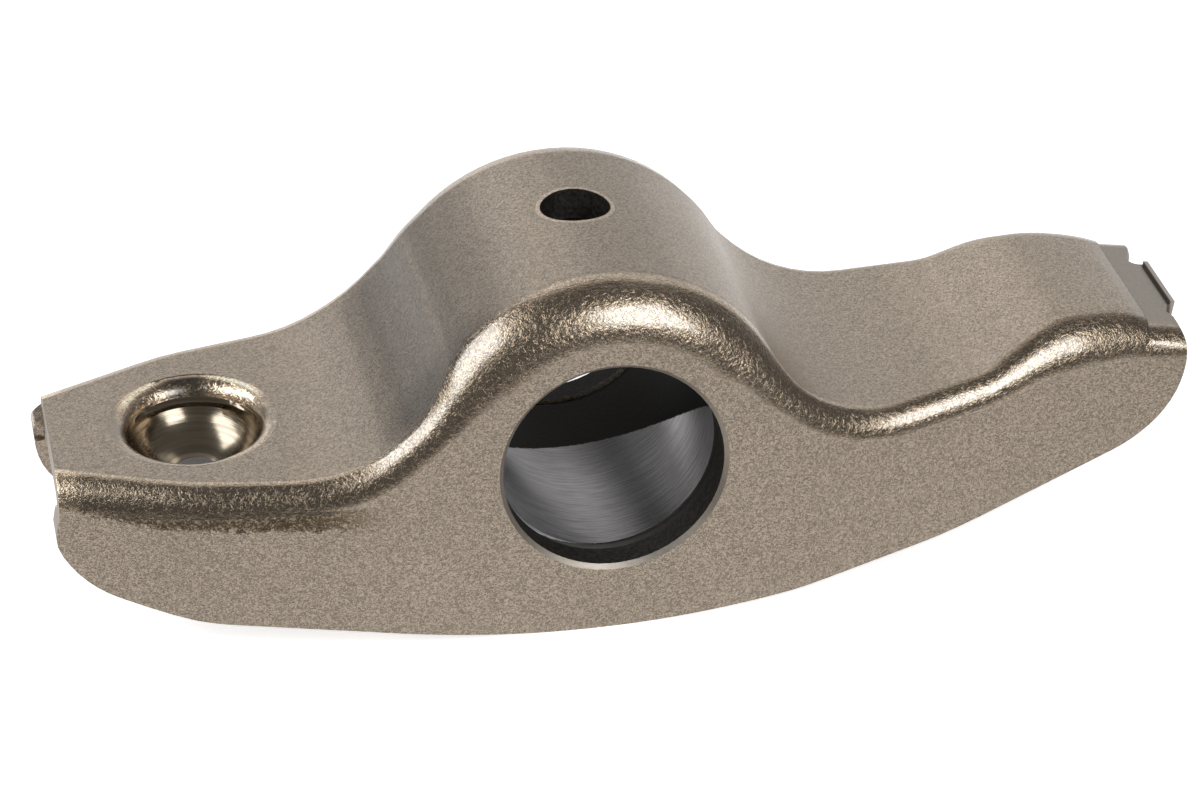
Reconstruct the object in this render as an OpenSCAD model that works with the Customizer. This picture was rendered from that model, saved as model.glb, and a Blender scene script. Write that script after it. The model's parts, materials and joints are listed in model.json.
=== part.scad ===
// Rocker arm for a shaft-mounted valve train: one deep-formed steel channel with two side walls,
// a dome over the shaft, a ball cup at the pushrod end and a rounded nose at the valve end.
// Frame: millimetres, +Z up, +X towards the valve end, Y along the shaft.
// The origin is the middle of the shaft bore.

/* [Sheet and shaft] */
// Thickness of the steel sheet
sheet_t = 3; // [2.4:0.1:3.4]
// Diameter of the shaft bore through both walls and the sleeve
bore_d = 20; // [17:0.5:21]
// Width over the two side walls at the shaft
body_w = 34; // [28:0.5:40]
// Chamfer on the outer edge of each shaft hole
bore_chamfer = 0.4; // [0.2:0.1:0.8]
// Running clearance around and beside the sleeve
sleeve_gap = 0.05; // [0.02:0.01:0.3]
// Chamfer at the mouths of the sleeve
sleeve_chamfer = 0.9; // [0.4:0.1:1.2]

/* [Dome and hollows] */
// Outer radius of the dome over the shaft
dome_r = 17.2; // [16.2:0.1:19]
// Radius of the hollow between the dome and the pushrod deck
tail_hollow_r = 15.5; // [12:0.5:16]
// Radius of the hollow between the dome and the nose
head_hollow_r = 12.5; // [10:0.5:13]
// Diameter of the oil hole in the crown of the dome
oil_d = 6.4; // [4:0.2:8]
// How far the oil hole lies off the middle, along the shaft
oil_shift = 1.2; // [0:0.1:2]
// Diameter of the oil hole that goes on through the sleeve
sleeve_oil_d = 4; // [2:0.2:5]

/* [Pushrod end] */
// Height of the deck where it leaves the hollow, from the bore axis
deck_z = 0; // [-1.5:0.05:1]
// Fall of the deck towards the pushrod end, in degrees
tail_fall = 1.2; // [0:0.1:3]
// Distance from the bore axis to the pushrod end of the deck
tail_len = 48.6; // [46:0.2:52]
// Width of the channel at the pushrod end
tail_w = 18.6; // [18:0.2:22]
// Width where the walls start to close in on the pushrod end
tail_knee_w = 28.4; // [26:0.2:30]
// Distance of that place from the bore axis
tail_knee = 37; // [35:0.5:39]
// Distance from the bore axis to the axis of the cup
cup_arm = 35.6; // [34:0.2:37]
// How far the cup lies off the middle, along the shaft
cup_shift = 0.5; // [0:0.1:1]
// Radius of the ball seat
cup_r = 6.5; // [6.3:0.1:6.8]
// Diameter of the rim where the seat starts
cup_rim_d = 12; // [10:0.2:12.4]
// Radius of the rounded lip from the deck down to the rim
cup_lip_r = 1.6; // [1:0.1:2]
// Thickness of the drawn metal under the seat
cup_wall = 2.1; // [1.8:0.1:2.6]
// Diameter of the oil hole in the bottom of the seat
cup_hole_d = 4.1; // [2:0.1:5]

/* [Valve end] */
// Height of the hollow between the dome and the nose
hollow_z = 1.55; // [0:0.05:2.5]
// Rise of the deck from that hollow towards the nose, in degrees
deck_rise = 8.5; // [5:0.5:10]
// Slope of the ramp up to the nose, in degrees
ramp_rise = 30; // [24:1:34]
// Radius at the foot of the ramp
foot_r = 5; // [3:0.5:6]
// Radius of the rounded nose that the valve runs on
nose_r = 14.5; // [13.5:0.25:15.5]
// Distance from the bore axis to the top of the nose
nose_arm = 45.6; // [45:0.1:46.2]
// Height of the top of the nose
nose_z = 6.3; // [5.9:0.05:6.8]
// Distance from the bore axis to the line where the nose ends
nose_end = 51.6; // [50.6:0.1:52]
// Distance from the bore axis to the edge of the strip beyond the nose
head_len = 54.5; // [54:0.1:56]
// Width of the channel at the valve end
head_w = 20.6; // [20:0.2:24]
// Slope of the strip beyond the nose, in degrees
strip_fall = 9; // [5:0.5:12]
// Depth of the coined strip below the nose line
coin_depth = 0.5; // [0.3:0.05:0.8]
// Width of the tongue left by the two notches
tongue_w = 8.2; // [6:0.2:9]
// How far the tongue stands out beyond the strip
tongue_out = 1.1; // [0.6:0.1:1.8]
// Thickness of the tongue
tongue_t = 2; // [1.4:0.1:2.2]
// Radius of the notch on each side of the tongue
notch_r = 0.9; // [0.6:0.1:1.2]
// Depth of the deeper notch
notch_deep = 0.6; // [0.4:0.1:0.9]
// Depth of the shallower notch
notch_shallow = 0.3; // [0.2:0.1:0.6]
// Width of the raised lip on the tongue
lip_w = 0.45; // [0.3:0.05:0.7]
// Height of the raised lip on the tongue
lip_h = 0.35; // [0.2:0.05:0.6]

/* [Side walls] */
// Depth of the walls below the bore axis, at the lowest point
wall_depth = 16.4; // [15.5:0.1:20]
// Radius of the convex lower edge under the shaft
belly_r = 97; // [80:1:120]
// Distance of the lowest point from the bore axis, towards the pushrod
belly_shift = 2; // [0:0.5:4]
// Depth of the walls below the deck near the pushrod end
tail_depth = 12.8; // [12.2:0.1:14]
// Depth of the walls below the bore axis near the valve end
head_depth = 5; // [4.4:0.1:6]
// How far the walls stand out past the deck at the pushrod end
tail_bulge = 1; // [0.4:0.1:1.4]
// How far the walls stand out past the strip at the valve end
head_bulge = 0.5; // [0.3:0.1:1]
// Radius of the lower corner at the pushrod end
tail_corner_r = 7.9; // [5:0.1:8.4]
// Radius of the lower corner at the valve end
head_corner_r = 9.7; // [7:0.1:10.5]

/* [Bends] */
// Outer radius of the bend at the pushrod end
bend_tail_r = 3.1; // [2.2:0.1:4]
// Outer radius of the bend beside both hollows
bend_hollow_r = 2.5; // [1.6:0.1:3]
// Outer radius of the bend round the dome
bend_dome_r = 5; // [4:0.1:6]
// Outer radius of the bend round the nose
bend_nose_r = 4.1; // [3:0.1:5]
// Outer radius of the bend at the valve end
bend_head_r = 2.9; // [2.2:0.1:4]
// Smallest inner radius of the bends
bend_inner_r = 0.8; // [0.5:0.1:1]

/* [Hidden] */
$fn = 96;
eps = 0.01;
over = 2;
skirt_z = -wall_depth - 6;
wall_flat_tail = 21;
wall_flat_head = 17;
steel_colour = [0.50, 0.46, 0.40];
bright_colour = [0.74, 0.74, 0.75];

// Number of steps on each stretch of the deck line and on each bend
hollow_steps = 10;
dome_steps = 26;
foot_steps = 3;
nose_steps = 12;
bend_steps = 5;
straight_step = 2.4;

// Side view of the deck: a flat, a hollow, the dome, a hollow, a rise, a ramp and the nose.
// Each point is [x, z, slope of the line there].
function hollow_x(z, r) = sqrt(pow(dome_r + r, 2) - pow(z + r, 2));
function dome_slope(z, r) = asin(hollow_x(z, r) / (dome_r + r));
function arc_up(c, r, from, to, steps) =
    [for (i = [0:steps]) let (a = from + (to - from) * i / steps)
        [c[0] + r * sin(a), c[1] - r * cos(a), a]];
function arc_over(c, r, from, to, steps) =
    [for (i = [0:steps]) let (a = from + (to - from) * i / steps)
        [c[0] - r * sin(a), c[1] + r * cos(a), a]];
function inner_points(p, q, a) =
    let (steps = max(1, ceil(norm([q[0] - p[0], q[1] - p[1]]) / straight_step)))
    steps < 2 ? [] : [for (i = [1:steps - 1]) [
        p[0] + (q[0] - p[0]) * i / steps,
        p[1] + (q[1] - p[1]) * i / steps,
        a]];
function last(list) = list[len(list) - 1];
function drop_first(list) = [for (i = [1:len(list) - 1]) list[i]];

tail_hollow_x = -hollow_x(deck_z, tail_hollow_r);
head_hollow_x = hollow_x(hollow_z, head_hollow_r);
tail_slope = dome_slope(deck_z, tail_hollow_r);
head_slope = dome_slope(hollow_z, head_hollow_r);
left_hollow = arc_up([tail_hollow_x, deck_z + tail_hollow_r], tail_hollow_r, tail_fall, tail_slope, hollow_steps);
dome = arc_over([0, 0], dome_r, tail_slope, -head_slope, dome_steps);
right_hollow = arc_up([head_hollow_x, hollow_z + head_hollow_r], head_hollow_r,
    -head_slope, deck_rise, hollow_steps);
nose_fall = asin((nose_end - nose_arm) / nose_r);
nose = arc_over([nose_arm, nose_z - nose_r], nose_r, ramp_rise, -nose_fall, nose_steps);

// The flat deck falls towards the pushrod end
tail_p = left_hollow[0];
function tail_deck_z(x) = tail_p[1] + (x - tail_p[0]) * tan(tail_fall);
tail_flat = [-tail_len - over, tail_deck_z(-tail_len - over), tail_fall];
tail_start = [-tail_len - 2 * over, tail_flat[1], 0];

// The foot fillet lies where the rising deck and the ramp would meet
deck_p = last(right_hollow);
ramp_p = nose[0];
meet_x = (ramp_p[1] - deck_p[1] + deck_p[0] * tan(deck_rise) - ramp_p[0] * tan(ramp_rise))
    / (tan(deck_rise) - tan(ramp_rise));
meet_z = deck_p[1] + (meet_x - deck_p[0]) * tan(deck_rise);
foot_back = foot_r * tan((ramp_rise - deck_rise) / 2);
foot = arc_up([meet_x - foot_back * cos(deck_rise) - foot_r * sin(deck_rise),
    meet_z - foot_back * sin(deck_rise) + foot_r * cos(deck_rise)], foot_r, deck_rise, ramp_rise, foot_steps);

// The strip starts with a small fillet, so that the bend beside it stays smooth
strip_r = 3;
nose_p = last(nose);
strip_turn = arc_up([nose_p[0] + strip_r * sin(nose_fall), nose_p[1] + strip_r * cos(nose_fall)],
    strip_r, -nose_fall, -strip_fall, 2);
strip_p = last(strip_turn);
strip_end_x = head_len + over;
strip_end = [strip_end_x, strip_p[1] - (strip_end_x - strip_p[0]) * tan(strip_fall), -strip_fall];
head_end = [strip_end_x + over, strip_end[1], 0];

deck_line = concat(
    [tail_start, tail_flat],
    inner_points(tail_flat, tail_p, tail_fall),
    left_hollow,
    drop_first(dome),
    drop_first(right_hollow),
    inner_points(deck_p, foot[0], deck_rise),
    foot,
    inner_points(last(foot), ramp_p, ramp_rise),
    nose,
    drop_first(strip_turn),
    inner_points(strip_p, strip_end, -strip_fall),
    [strip_end, head_end]);

// Corner of an outline at p, rounded to radius r, coming from o and going on to q
function corner(o, p, q, r, steps) =
    let (u = (o - p) / norm(o - p), v = (q - p) / norm(q - p))
    let (half = acos(u * v) / 2, back = r / tan(half))
    let (c = p + (u + v) / norm(u + v) * r / sin(half))
    let (s = p + u * back - c, e = p + v * back - c)
    let (from = atan2(s[1], s[0]), turn = atan2(s[0] * e[1] - s[1] * e[0], s * e))
    [for (i = [0:steps]) c + r * [cos(from + turn * i / steps), sin(from + turn * i / steps)]];

// Plan view of a side wall: parallel beside the shaft, tapering to both ends,
// with a rounded knee before the pushrod end
plan_tail_slope = (tail_knee_w - tail_w) / 2 / (tail_len - tail_knee);
plan_tail = [-tail_len - 3 * over, (tail_w / 2) - 3 * over * plan_tail_slope];
plan_knee = [-tail_knee, tail_knee_w / 2];
plan_left = [-wall_flat_tail, body_w / 2];
plan_right = [wall_flat_head, body_w / 2];
plan_neck = [nose_end - 1, head_w / 2];
plan_head = [head_len + 4 * over, head_w / 2];
plan_table = concat(
    [plan_tail],
    corner(plan_tail, plan_knee, plan_left, 16, 5),
    corner(plan_knee, plan_left, [0, body_w / 2], 20, 4),
    corner([0, body_w / 2], plan_right, plan_neck, 20, 4),
    corner(plan_right, plan_neck, plan_head, 20, 4),
    [plan_head]);
function half_width(x) = lookup(x, plan_table);
function wall_t(x) = sheet_t * sqrt(1 + pow(half_width(x + 0.5) - half_width(x - 0.5), 2));

// Outer bend radius along the part
bend_table = [
    [-tail_len, bend_tail_r],
    [tail_hollow_x, bend_hollow_r],
    [-dome_r, bend_hollow_r],
    [-dome_r * 0.75, bend_dome_r],
    [dome_r * 0.75, bend_dome_r],
    [dome_r, bend_hollow_r],
    [meet_x, bend_hollow_r],
    [nose_arm - 3, bend_nose_r],
    [nose_arm + 2, bend_nose_r],
    [head_len - 1, bend_head_r]];
function bend_r(x) = lookup(x, bend_table);
function bend_in(x) = max(bend_inner_r, bend_r(x) - sheet_t);

// One point of the section at deck point p, a depth d below the sheet's outer face
function below(p, d) = [p[0] + d * sin(p[2]), p[1] - d * cos(p[2])];
function outer_bend(p, a, side) =
    let (r = bend_r(p[0]), q = below(p, r * (1 - sin(a))))
    [q[0], side * (half_width(q[0]) - r + r * cos(a)), q[1]];
function inner_bend(p, a, side) =
    let (r = bend_in(p[0]), q = below(p, sheet_t + r * (1 - sin(a))))
    [q[0], side * (half_width(q[0]) - wall_t(q[0]) - r + r * cos(a)), q[1]];
function skirt(v) = [v[0], v[1], skirt_z];
function section(p) = concat(
    [skirt(outer_bend(p, 0, -1))],
    [for (i = [0:bend_steps]) outer_bend(p, 90 * i / bend_steps, -1)],
    [for (i = [bend_steps:-1:0]) outer_bend(p, 90 * i / bend_steps, 1)],
    [skirt(outer_bend(p, 0, 1)), skirt(inner_bend(p, 0, 1))],
    [for (i = [0:bend_steps]) inner_bend(p, 90 * i / bend_steps, 1)],
    [for (i = [bend_steps:-1:0]) inner_bend(p, 90 * i / bend_steps, -1)],
    [skirt(inner_bend(p, 0, -1))]);

// The formed channel before trimming: the sections joined into one closed skin
module formed_channel() {
    rows = [for (p = deck_line) section(p)];
    n = len(rows[0]);
    m = len(rows);
    points = [for (row = rows) for (v = row) v];
    sides = [for (i = [0:m - 2]) for (j = [0:n - 1])
        let (a = i * n + j, b = i * n + (j + 1) % n, c = b + n, d = a + n)
        for (f = [[a, b, c], [a, c, d]]) f];
    far = (m - 1) * n;
    near_cap = [for (j = [0:n / 2 - 2]) [n - 1 - j, n - 2 - j, j + 1, j]];
    far_cap = [for (q = near_cap) [far + q[3], far + q[2], far + q[1], far + q[0]]];
    polyhedron(points = points, faces = concat(sides, near_cap, far_cap), convexity = 8);
}

// Side view of the trimmed walls: the lower edge, its end corners and the two ends
belly_half = 16;
low_turn_r = 40;
belly_turn_r = 30;
head_turn_r = 50;
low_edge_run = 11.7;
belly_slope = asin(belly_half / belly_r);
belly_tip = [-belly_shift, -wall_depth - belly_r * (1 / cos(belly_slope) - 1)];
tail_edge_z = tail_deck_z(-tail_len);
tail_edge = [-tail_len, tail_edge_z - 1.9];
tail_out = [-tail_len - tail_bulge, tail_edge_z - 2.6];
tail_low = [-tail_len - tail_bulge, tail_edge_z - tail_depth + 3.3];
tail_mid = [tail_low[0] + low_edge_run, tail_edge_z - tail_depth];
tail_belly = belly_tip + [-belly_half - 3.5, (belly_half + 3.5) * tan(belly_slope)];
head_belly = belly_tip + [belly_half + 17.8, (belly_half + 17.8) * tan(belly_slope)];
head_low = [head_len + head_bulge, -head_depth];
head_high = [head_len + head_bulge, nose_z - 3.1];
head_top = [head_len - 0.6, nose_z];
far_up = dome_r + 10;
side_points = concat(
    [[-tail_len, far_up], tail_edge],
    corner(tail_edge, tail_out, tail_low, 0.6, 3),
    corner(tail_out, tail_low, tail_mid, tail_corner_r, 10),
    corner(tail_low, tail_mid, tail_belly, low_turn_r, 4),
    corner(tail_mid, tail_belly, belly_tip, belly_turn_r, 3),
    corner(tail_belly, belly_tip, head_belly, belly_r, 16),
    corner(belly_tip, head_belly, head_low, head_turn_r, 3),
    corner(head_belly, head_low, head_high, head_corner_r, 12),
    corner(head_low, head_high, head_top, 2, 3),
    [head_top, [head_len - 0.6, far_up]]);

module side_outline() {
    rotate([90, 0, 0])
        linear_extrude(height = body_w + 10, center = true)
            polygon(side_points);
}

// The deck itself is sheared square between the walls, which stand out past it
module deck_end_cut() {
    between = tail_w - 2 * sheet_t;
    translate([-tail_len - 3 * over, -between / 2, tail_edge_z - sheet_t - 1])
        cube([3 * over, between, sheet_t + 2]);
}

// Where the strip lies beyond the nose line
strip_z = nose_p[1] - coin_depth;

// Places a child in the plane of the strip, at its edge
module on_strip() {
    translate([nose_end, 0, strip_z])
        rotate([0, strip_fall, 0])
            children();
}

strip_len = (head_len - nose_end) / cos(strip_fall);

// Coined recess that leaves a crisp line at the end of the nose, and runs out over both bends
module coin_cut() {
    coin_r = bend_head_r + 0.4;
    on_strip()
        rotate([90, 0, 90])
            linear_extrude(height = strip_len + 2 * over)
                difference() {
                    translate([-head_w / 2 - 1, -coin_r])
                        square([head_w + 2, coin_r + 4]);
                    hull()
                        for (side = [-1, 1])
                            translate([side * (head_w / 2 - bend_head_r), -coin_r])
                                circle(r = coin_r, $fn = 48);
                }
}

// Tongue beyond the strip, with the raised lip along its edge
module tongue() {
    on_strip() {
        translate([strip_len - 1.5, -tongue_w / 2, -tongue_t])
            cube([1.5 + tongue_out, tongue_w, tongue_t]);
        translate([strip_len + tongue_out - lip_w, -tongue_w / 2, -eps])
            cube([lip_w, tongue_w, lip_h + eps]);
    }
}

// Notch on one side of the tongue: round at the tongue and running out along the strip
module notch(side, depth) {
    run = 2.9 * depth;
    on_strip()
        translate([strip_len + notch_r, side * (tongue_w / 2 + notch_r), -10])
            linear_extrude(height = 20)
                hull() {
                    translate([-depth, 0])
                        circle(r = notch_r, $fn = 32);
                    translate([0, side * run])
                        circle(r = notch_r, $fn = 32);
                }
}

// Ball cup: a lip that rounds down from the deck to a crisp rim, and a ball seat below it
// Heights here are counted from the deck, square to it; the lip starts a hair below it
cup_sink = 0.02;
cup_rim_r = cup_rim_d / 2;
cup_centre_z = sqrt(pow(cup_r, 2) - pow(cup_rim_r, 2)) - cup_lip_r;
cup_floor_z = cup_centre_z - sqrt(pow(cup_r, 2) - pow(cup_hole_d / 2, 2));
cup_boss_z = cup_floor_z - cup_wall;

module on_tail() {
    translate([-cup_arm, -cup_shift, tail_deck_z(-cup_arm) - cup_sink])
        rotate([0, -tail_fall, 0])
            children();
}

module cup_boss() {
    on_tail()
        intersection() {
            translate([0, 0, cup_centre_z])
                sphere(r = cup_r + cup_wall);
            translate([0, 0, cup_boss_z])
                cylinder(h = -sheet_t / 2 - cup_boss_z, r = cup_r + cup_wall + 1);
        }
}

module cup_cut() {
    on_tail() {
        rotate_extrude()
            difference() {
                translate([0, -cup_lip_r])
                    square([cup_rim_r + cup_lip_r, cup_lip_r + 1]);
                translate([cup_rim_r + cup_lip_r, -cup_lip_r])
                    circle(r = cup_lip_r);
            }
        intersection() {
            translate([0, 0, cup_centre_z])
                sphere(r = cup_r);
            translate([0, 0, cup_floor_z - 5])
                cylinder(h = 5 - cup_lip_r - cup_floor_z + eps, r = cup_r + 1);
        }
        translate([0, 0, cup_boss_z - 1])
            cylinder(h = cup_wall + 3, d = cup_hole_d);
    }
}

// Shaft hole through both walls, with a small chamfer on the outer edges
module shaft_cut() {
    rotate([90, 0, 0])
        cylinder(h = body_w + 4, d = bore_d, center = true);
    for (side = [-1, 1])
        rotate([side * 90, 0, 0])
            translate([0, 0, body_w / 2 - bore_chamfer])
                cylinder(h = bore_chamfer + eps, d1 = bore_d, d2 = bore_d + 2 * bore_chamfer);
}

module oil_cut() {
    translate([0, oil_shift, 0])
        cylinder(h = dome_r + 2, d = oil_d);
}

module rocker_body() {
    color(steel_colour)
        difference() {
            union() {
                difference() {
                    intersection() {
                        formed_channel();
                        side_outline();
                    }
                    coin_cut();
                    deck_end_cut();
                }
                tongue();
                cup_boss();
            }
            notch(1, notch_deep);
            notch(-1, notch_shallow);
            cup_cut();
            shaft_cut();
            oil_cut();
        }
}

// Sleeve between the walls: it lies in the inner face of the dome and carries the shaft
sleeve_r = dome_r - sheet_t - 2 * sleeve_gap;
sleeve_len = body_w - 2 * sheet_t - 2 * sleeve_gap;

module bearing_sleeve() {
    color(bright_colour)
        difference() {
            rotate([90, 0, 0])
                cylinder(h = sleeve_len, r = sleeve_r, center = true);
            rotate([90, 0, 0])
                cylinder(h = sleeve_len + 2, d = bore_d, center = true);
            for (side = [-1, 1])
                rotate([side * 90, 0, 0])
                    translate([0, 0, sleeve_len / 2 - sleeve_chamfer])
                        cylinder(h = sleeve_chamfer + eps, d1 = bore_d, d2 = bore_d + 2 * sleeve_chamfer);
            translate([0, oil_shift, 0])
                cylinder(h = dome_r, d = sleeve_oil_d);
        }
}

rocker_body();
bearing_sleeve();
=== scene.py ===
"""Looks of the rocker arm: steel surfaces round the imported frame, a white studio and the camera.

Lengths are in metres, and MM turns millimetres into them. +X points to the valve end, +Y along the
shaft, and +Z to the side that the dome, the cup's mouth and the nose face.
"""
import json
import math

import bpy
from mathutils import Matrix, Vector
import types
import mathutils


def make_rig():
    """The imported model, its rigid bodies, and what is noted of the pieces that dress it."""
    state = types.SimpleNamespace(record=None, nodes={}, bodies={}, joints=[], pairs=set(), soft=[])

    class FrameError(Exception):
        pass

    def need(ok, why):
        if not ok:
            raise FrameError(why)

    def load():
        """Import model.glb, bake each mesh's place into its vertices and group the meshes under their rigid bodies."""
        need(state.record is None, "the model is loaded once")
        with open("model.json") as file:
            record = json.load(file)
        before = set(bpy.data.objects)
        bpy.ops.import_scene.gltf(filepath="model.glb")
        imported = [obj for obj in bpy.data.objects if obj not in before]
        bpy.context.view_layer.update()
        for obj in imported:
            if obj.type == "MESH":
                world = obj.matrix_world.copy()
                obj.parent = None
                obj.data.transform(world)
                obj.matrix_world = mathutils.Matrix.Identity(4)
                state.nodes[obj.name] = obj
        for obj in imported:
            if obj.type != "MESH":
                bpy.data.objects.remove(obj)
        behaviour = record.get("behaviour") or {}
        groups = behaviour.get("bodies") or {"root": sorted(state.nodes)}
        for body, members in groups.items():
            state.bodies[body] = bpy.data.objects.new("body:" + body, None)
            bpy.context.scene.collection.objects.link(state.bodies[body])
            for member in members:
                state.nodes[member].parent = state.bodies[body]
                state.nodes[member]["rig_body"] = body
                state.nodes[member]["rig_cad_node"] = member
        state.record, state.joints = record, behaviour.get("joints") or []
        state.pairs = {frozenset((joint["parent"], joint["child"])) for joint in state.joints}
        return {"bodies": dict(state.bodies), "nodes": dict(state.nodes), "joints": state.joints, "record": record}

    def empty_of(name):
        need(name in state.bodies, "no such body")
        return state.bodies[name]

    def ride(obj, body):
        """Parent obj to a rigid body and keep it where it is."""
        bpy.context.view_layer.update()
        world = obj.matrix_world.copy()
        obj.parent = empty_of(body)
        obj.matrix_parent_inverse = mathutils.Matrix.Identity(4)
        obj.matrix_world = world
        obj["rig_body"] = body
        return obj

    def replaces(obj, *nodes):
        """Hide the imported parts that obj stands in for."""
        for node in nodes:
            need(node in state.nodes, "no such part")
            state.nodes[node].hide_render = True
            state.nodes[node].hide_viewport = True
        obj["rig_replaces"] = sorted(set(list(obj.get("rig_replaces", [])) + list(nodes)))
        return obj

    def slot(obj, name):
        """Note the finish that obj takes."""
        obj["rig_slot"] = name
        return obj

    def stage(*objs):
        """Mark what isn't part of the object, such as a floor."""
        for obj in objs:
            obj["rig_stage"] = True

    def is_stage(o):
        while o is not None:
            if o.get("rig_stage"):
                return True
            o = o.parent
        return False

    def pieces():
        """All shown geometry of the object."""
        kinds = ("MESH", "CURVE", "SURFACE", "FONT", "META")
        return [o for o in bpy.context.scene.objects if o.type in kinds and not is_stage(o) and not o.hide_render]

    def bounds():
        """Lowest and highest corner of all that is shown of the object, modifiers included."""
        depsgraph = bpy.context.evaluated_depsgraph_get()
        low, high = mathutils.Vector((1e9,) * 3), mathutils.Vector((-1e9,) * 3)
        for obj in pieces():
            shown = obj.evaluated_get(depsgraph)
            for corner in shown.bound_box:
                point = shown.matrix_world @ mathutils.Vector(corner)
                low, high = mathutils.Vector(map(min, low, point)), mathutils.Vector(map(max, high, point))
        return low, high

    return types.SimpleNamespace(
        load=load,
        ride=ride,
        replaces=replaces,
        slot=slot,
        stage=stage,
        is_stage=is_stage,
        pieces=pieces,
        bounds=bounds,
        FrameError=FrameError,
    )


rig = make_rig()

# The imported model, and its box before anything is added
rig.load()
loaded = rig.bounds()

bl_info = {
    "name": "Rocker arm",
    "version": (1, 0, 0),
    "blender": (4, 2, 0),
    "location": "View3D > Sidebar > Rocker arm",
    "description": "Stamped rocker arm built round its CAD frame, with its studio",
    "category": "Object",
}

MM = 0.001
BODY = "rocker_body"
SLEEVE = "bearing_sleeve"
SIZE_FILE = "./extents.json"

# Places on the stamping, in millimetres
BORE_R = 10.0
WALL_INNER_Y = 13.8
CUP_X = -35.6
CUP_Y = -0.5
CUP_LIP_R = 7.6
CUP_RIM_R = 6.05
CUP_RIM_Z = -1.6
CUP_FLOOR_Z = -9.0
CUP_HOLE_R = 2.05
CUP_HOLE_Z = (-9.5, -5.0)
CUP_STRETCH = 1.12
DECK_END_X = -48.6
TAIL_TAPER = 0.42
TRIM_DEPTH = (3.4, 8.0)
OIL_Y = 1.2
OIL_R = 3.2
NOSE_END = 51.6
LIP_X = 55.15
TONGUE_HALF = 4.1

# Places on the sleeve, in millimetres
SLEEVE_END = 13.95
SLEEVE_CHAMFER = 0.9
SLEEVE_OUTER_R = 14.1
SLEEVE_OIL_R = 2.0

# How near a point lies to count as on an edge, and the length past which an edge runs across
NEAR = 0.03
LONG_EDGE = 1.5

# Marks on the skin, in millimetres: where a soft edge starts and ends, or a stripe's middle and
# half width. Most of them place painted highlights and painted shade.
# The tail's bend and the apron below it take painted shade
TAIL_EDGE = (-27.0, -19.0)
APRON_START = (-48.0, -41.0)
APRON_SIDE = (6.0, 7.0)
APRON_TOP = (-2.2, -1.6)
APRON_DEPTH = 3.0
APRON_DROP = 0.75
APRON_RAGGED = 2.4
# Painted highlight at the corner of the tail's bend
CORNER_HIGHLIGHT = (-47.8, -46.2)
# Painted shade and a painted highlight in the hollow before the dome
DECK_SIDE = (12.6, 14.6)
ABOVE_TAIL = (1.0, 2.5)
GREY_START = (-19.0, -17.2)
GREY_END = (-14.8, -13.9)
GREY_FOOT_STRIPE = (-18.7, 1.8)
GREY_HEAD_STRIPE = (-13.2, 1.2)
CREASE_STRIPE = (-14.1, 0.35)
NOSE_SIDE = (7.4, 8.6)
NOSE_TOP = (1.5, 2.5)
STRIP_START = (NOSE_END + 0.05, NOSE_END + 0.2)
# A band of painted highlight before the nose, painted shadow in the groove, and at the tongue's lip painted shadow at
# its foot and a painted highlight on its top
BAND_START = (NOSE_END - 1.5, NOSE_END - 0.7)
BAND_END = (NOSE_END - 0.1, NOSE_END + 0.05)
GROOVE_STRIPE = (NOSE_END + 0.13, 0.17)
TONGUE_SIDE = (TONGUE_HALF + 0.1, TONGUE_HALF + 0.3)
LIP_FOOT_STRIPE = (LIP_X - 0.12, 0.2)
LIP_START = (LIP_X + 0.1, LIP_X + 0.2)
# Painted highlight along the crest, painted shade on the pushrod side, in the hollow, on the crown and at the near
# end, and painted light on the ramp
CREST_END = (14.0, 30.0)
PUSHROD_SIDE = (8.0, 20.0)
HOLLOW_SHADE_STRIPE = (-13.2, 7.0)
CROWN_SHADE_STRIPE = (3.0, 5.5)
NEAR_SIDE = (7.0, 13.5)
NEAR_END_SHADE_STRIPE = (-15.0, 6.5)
RAMP_START = (30.0, 34.0)
RAMP_END = (41.0, 44.0)
OIL_RIM = (OIL_R + 0.22, 0.24)
CROWN_Z = (15.0, 16.0)
CUP_LIP_RING = (6.6, 1.2)
CUP_LIP_LOW = (-3.2, -2.4)
CUP_LIP_HIGH = (0.4, 1.0)
UNDER_CUP_RIM = (-3.6, -2.2)
CUP_HOLE_EDGE = (CUP_HOLE_R + 0.25, 0.3)
# The far wall's hole walls take painted shade
FAR_WALL = (12.0, 13.5)

# The same, by how far the surface turns from the deck, 0, to the side walls, 1
CREST_STRIPE = (0.13, 0.11)
FACING_UP = (0.10, 0.35)
BEND_TURN = (0.04, 0.30)

# The same, by the angle round the cup, in degrees: painted highlights on the cup's lip and painted shade between them
LIP_HIGHLIGHT_LEFT = (128.0, 30.0)
LIP_HIGHLIGHT_RIGHT = (50.0, 32.0)
LIP_SHADE_MIDDLE = (91.0, 24.0)

# Marks in the bore: lengths in millimetres, and angles round the bore in degrees. The bright mouth,
# the dark band and the two sides are painted light and shade.
FULL_BORE = (BORE_R + 0.25, BORE_R + 0.35)
BORE_RING = (SLEEVE_END - SLEEVE_CHAMFER - 0.15, SLEEVE_END - SLEEVE_CHAMFER - 0.09)
FAR_END = (12.0, 13.0)
BRIGHT_MOUTH = (-13.0, 5.0)
DARK_BAND_ANGLE = 23.0
DARK_BAND_LEAN = 0.43
DARK_BAND_HALF = (1.0, 31.0)
BORE_PUSHROD_SIDE = (-55.0, -15.0)
BORE_VALVE_SIDE = (46.0, 62.0)
NEAR_BLACK_EDGE_Y = 4.9
NEAR_BLACK_EDGE_ANGLE = 3.0
NEAR_BLACK_EDGE_CURVE = 0.00166
NEAR_BLACK_EDGE_SOFT = (-0.12, 0.12)

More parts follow.
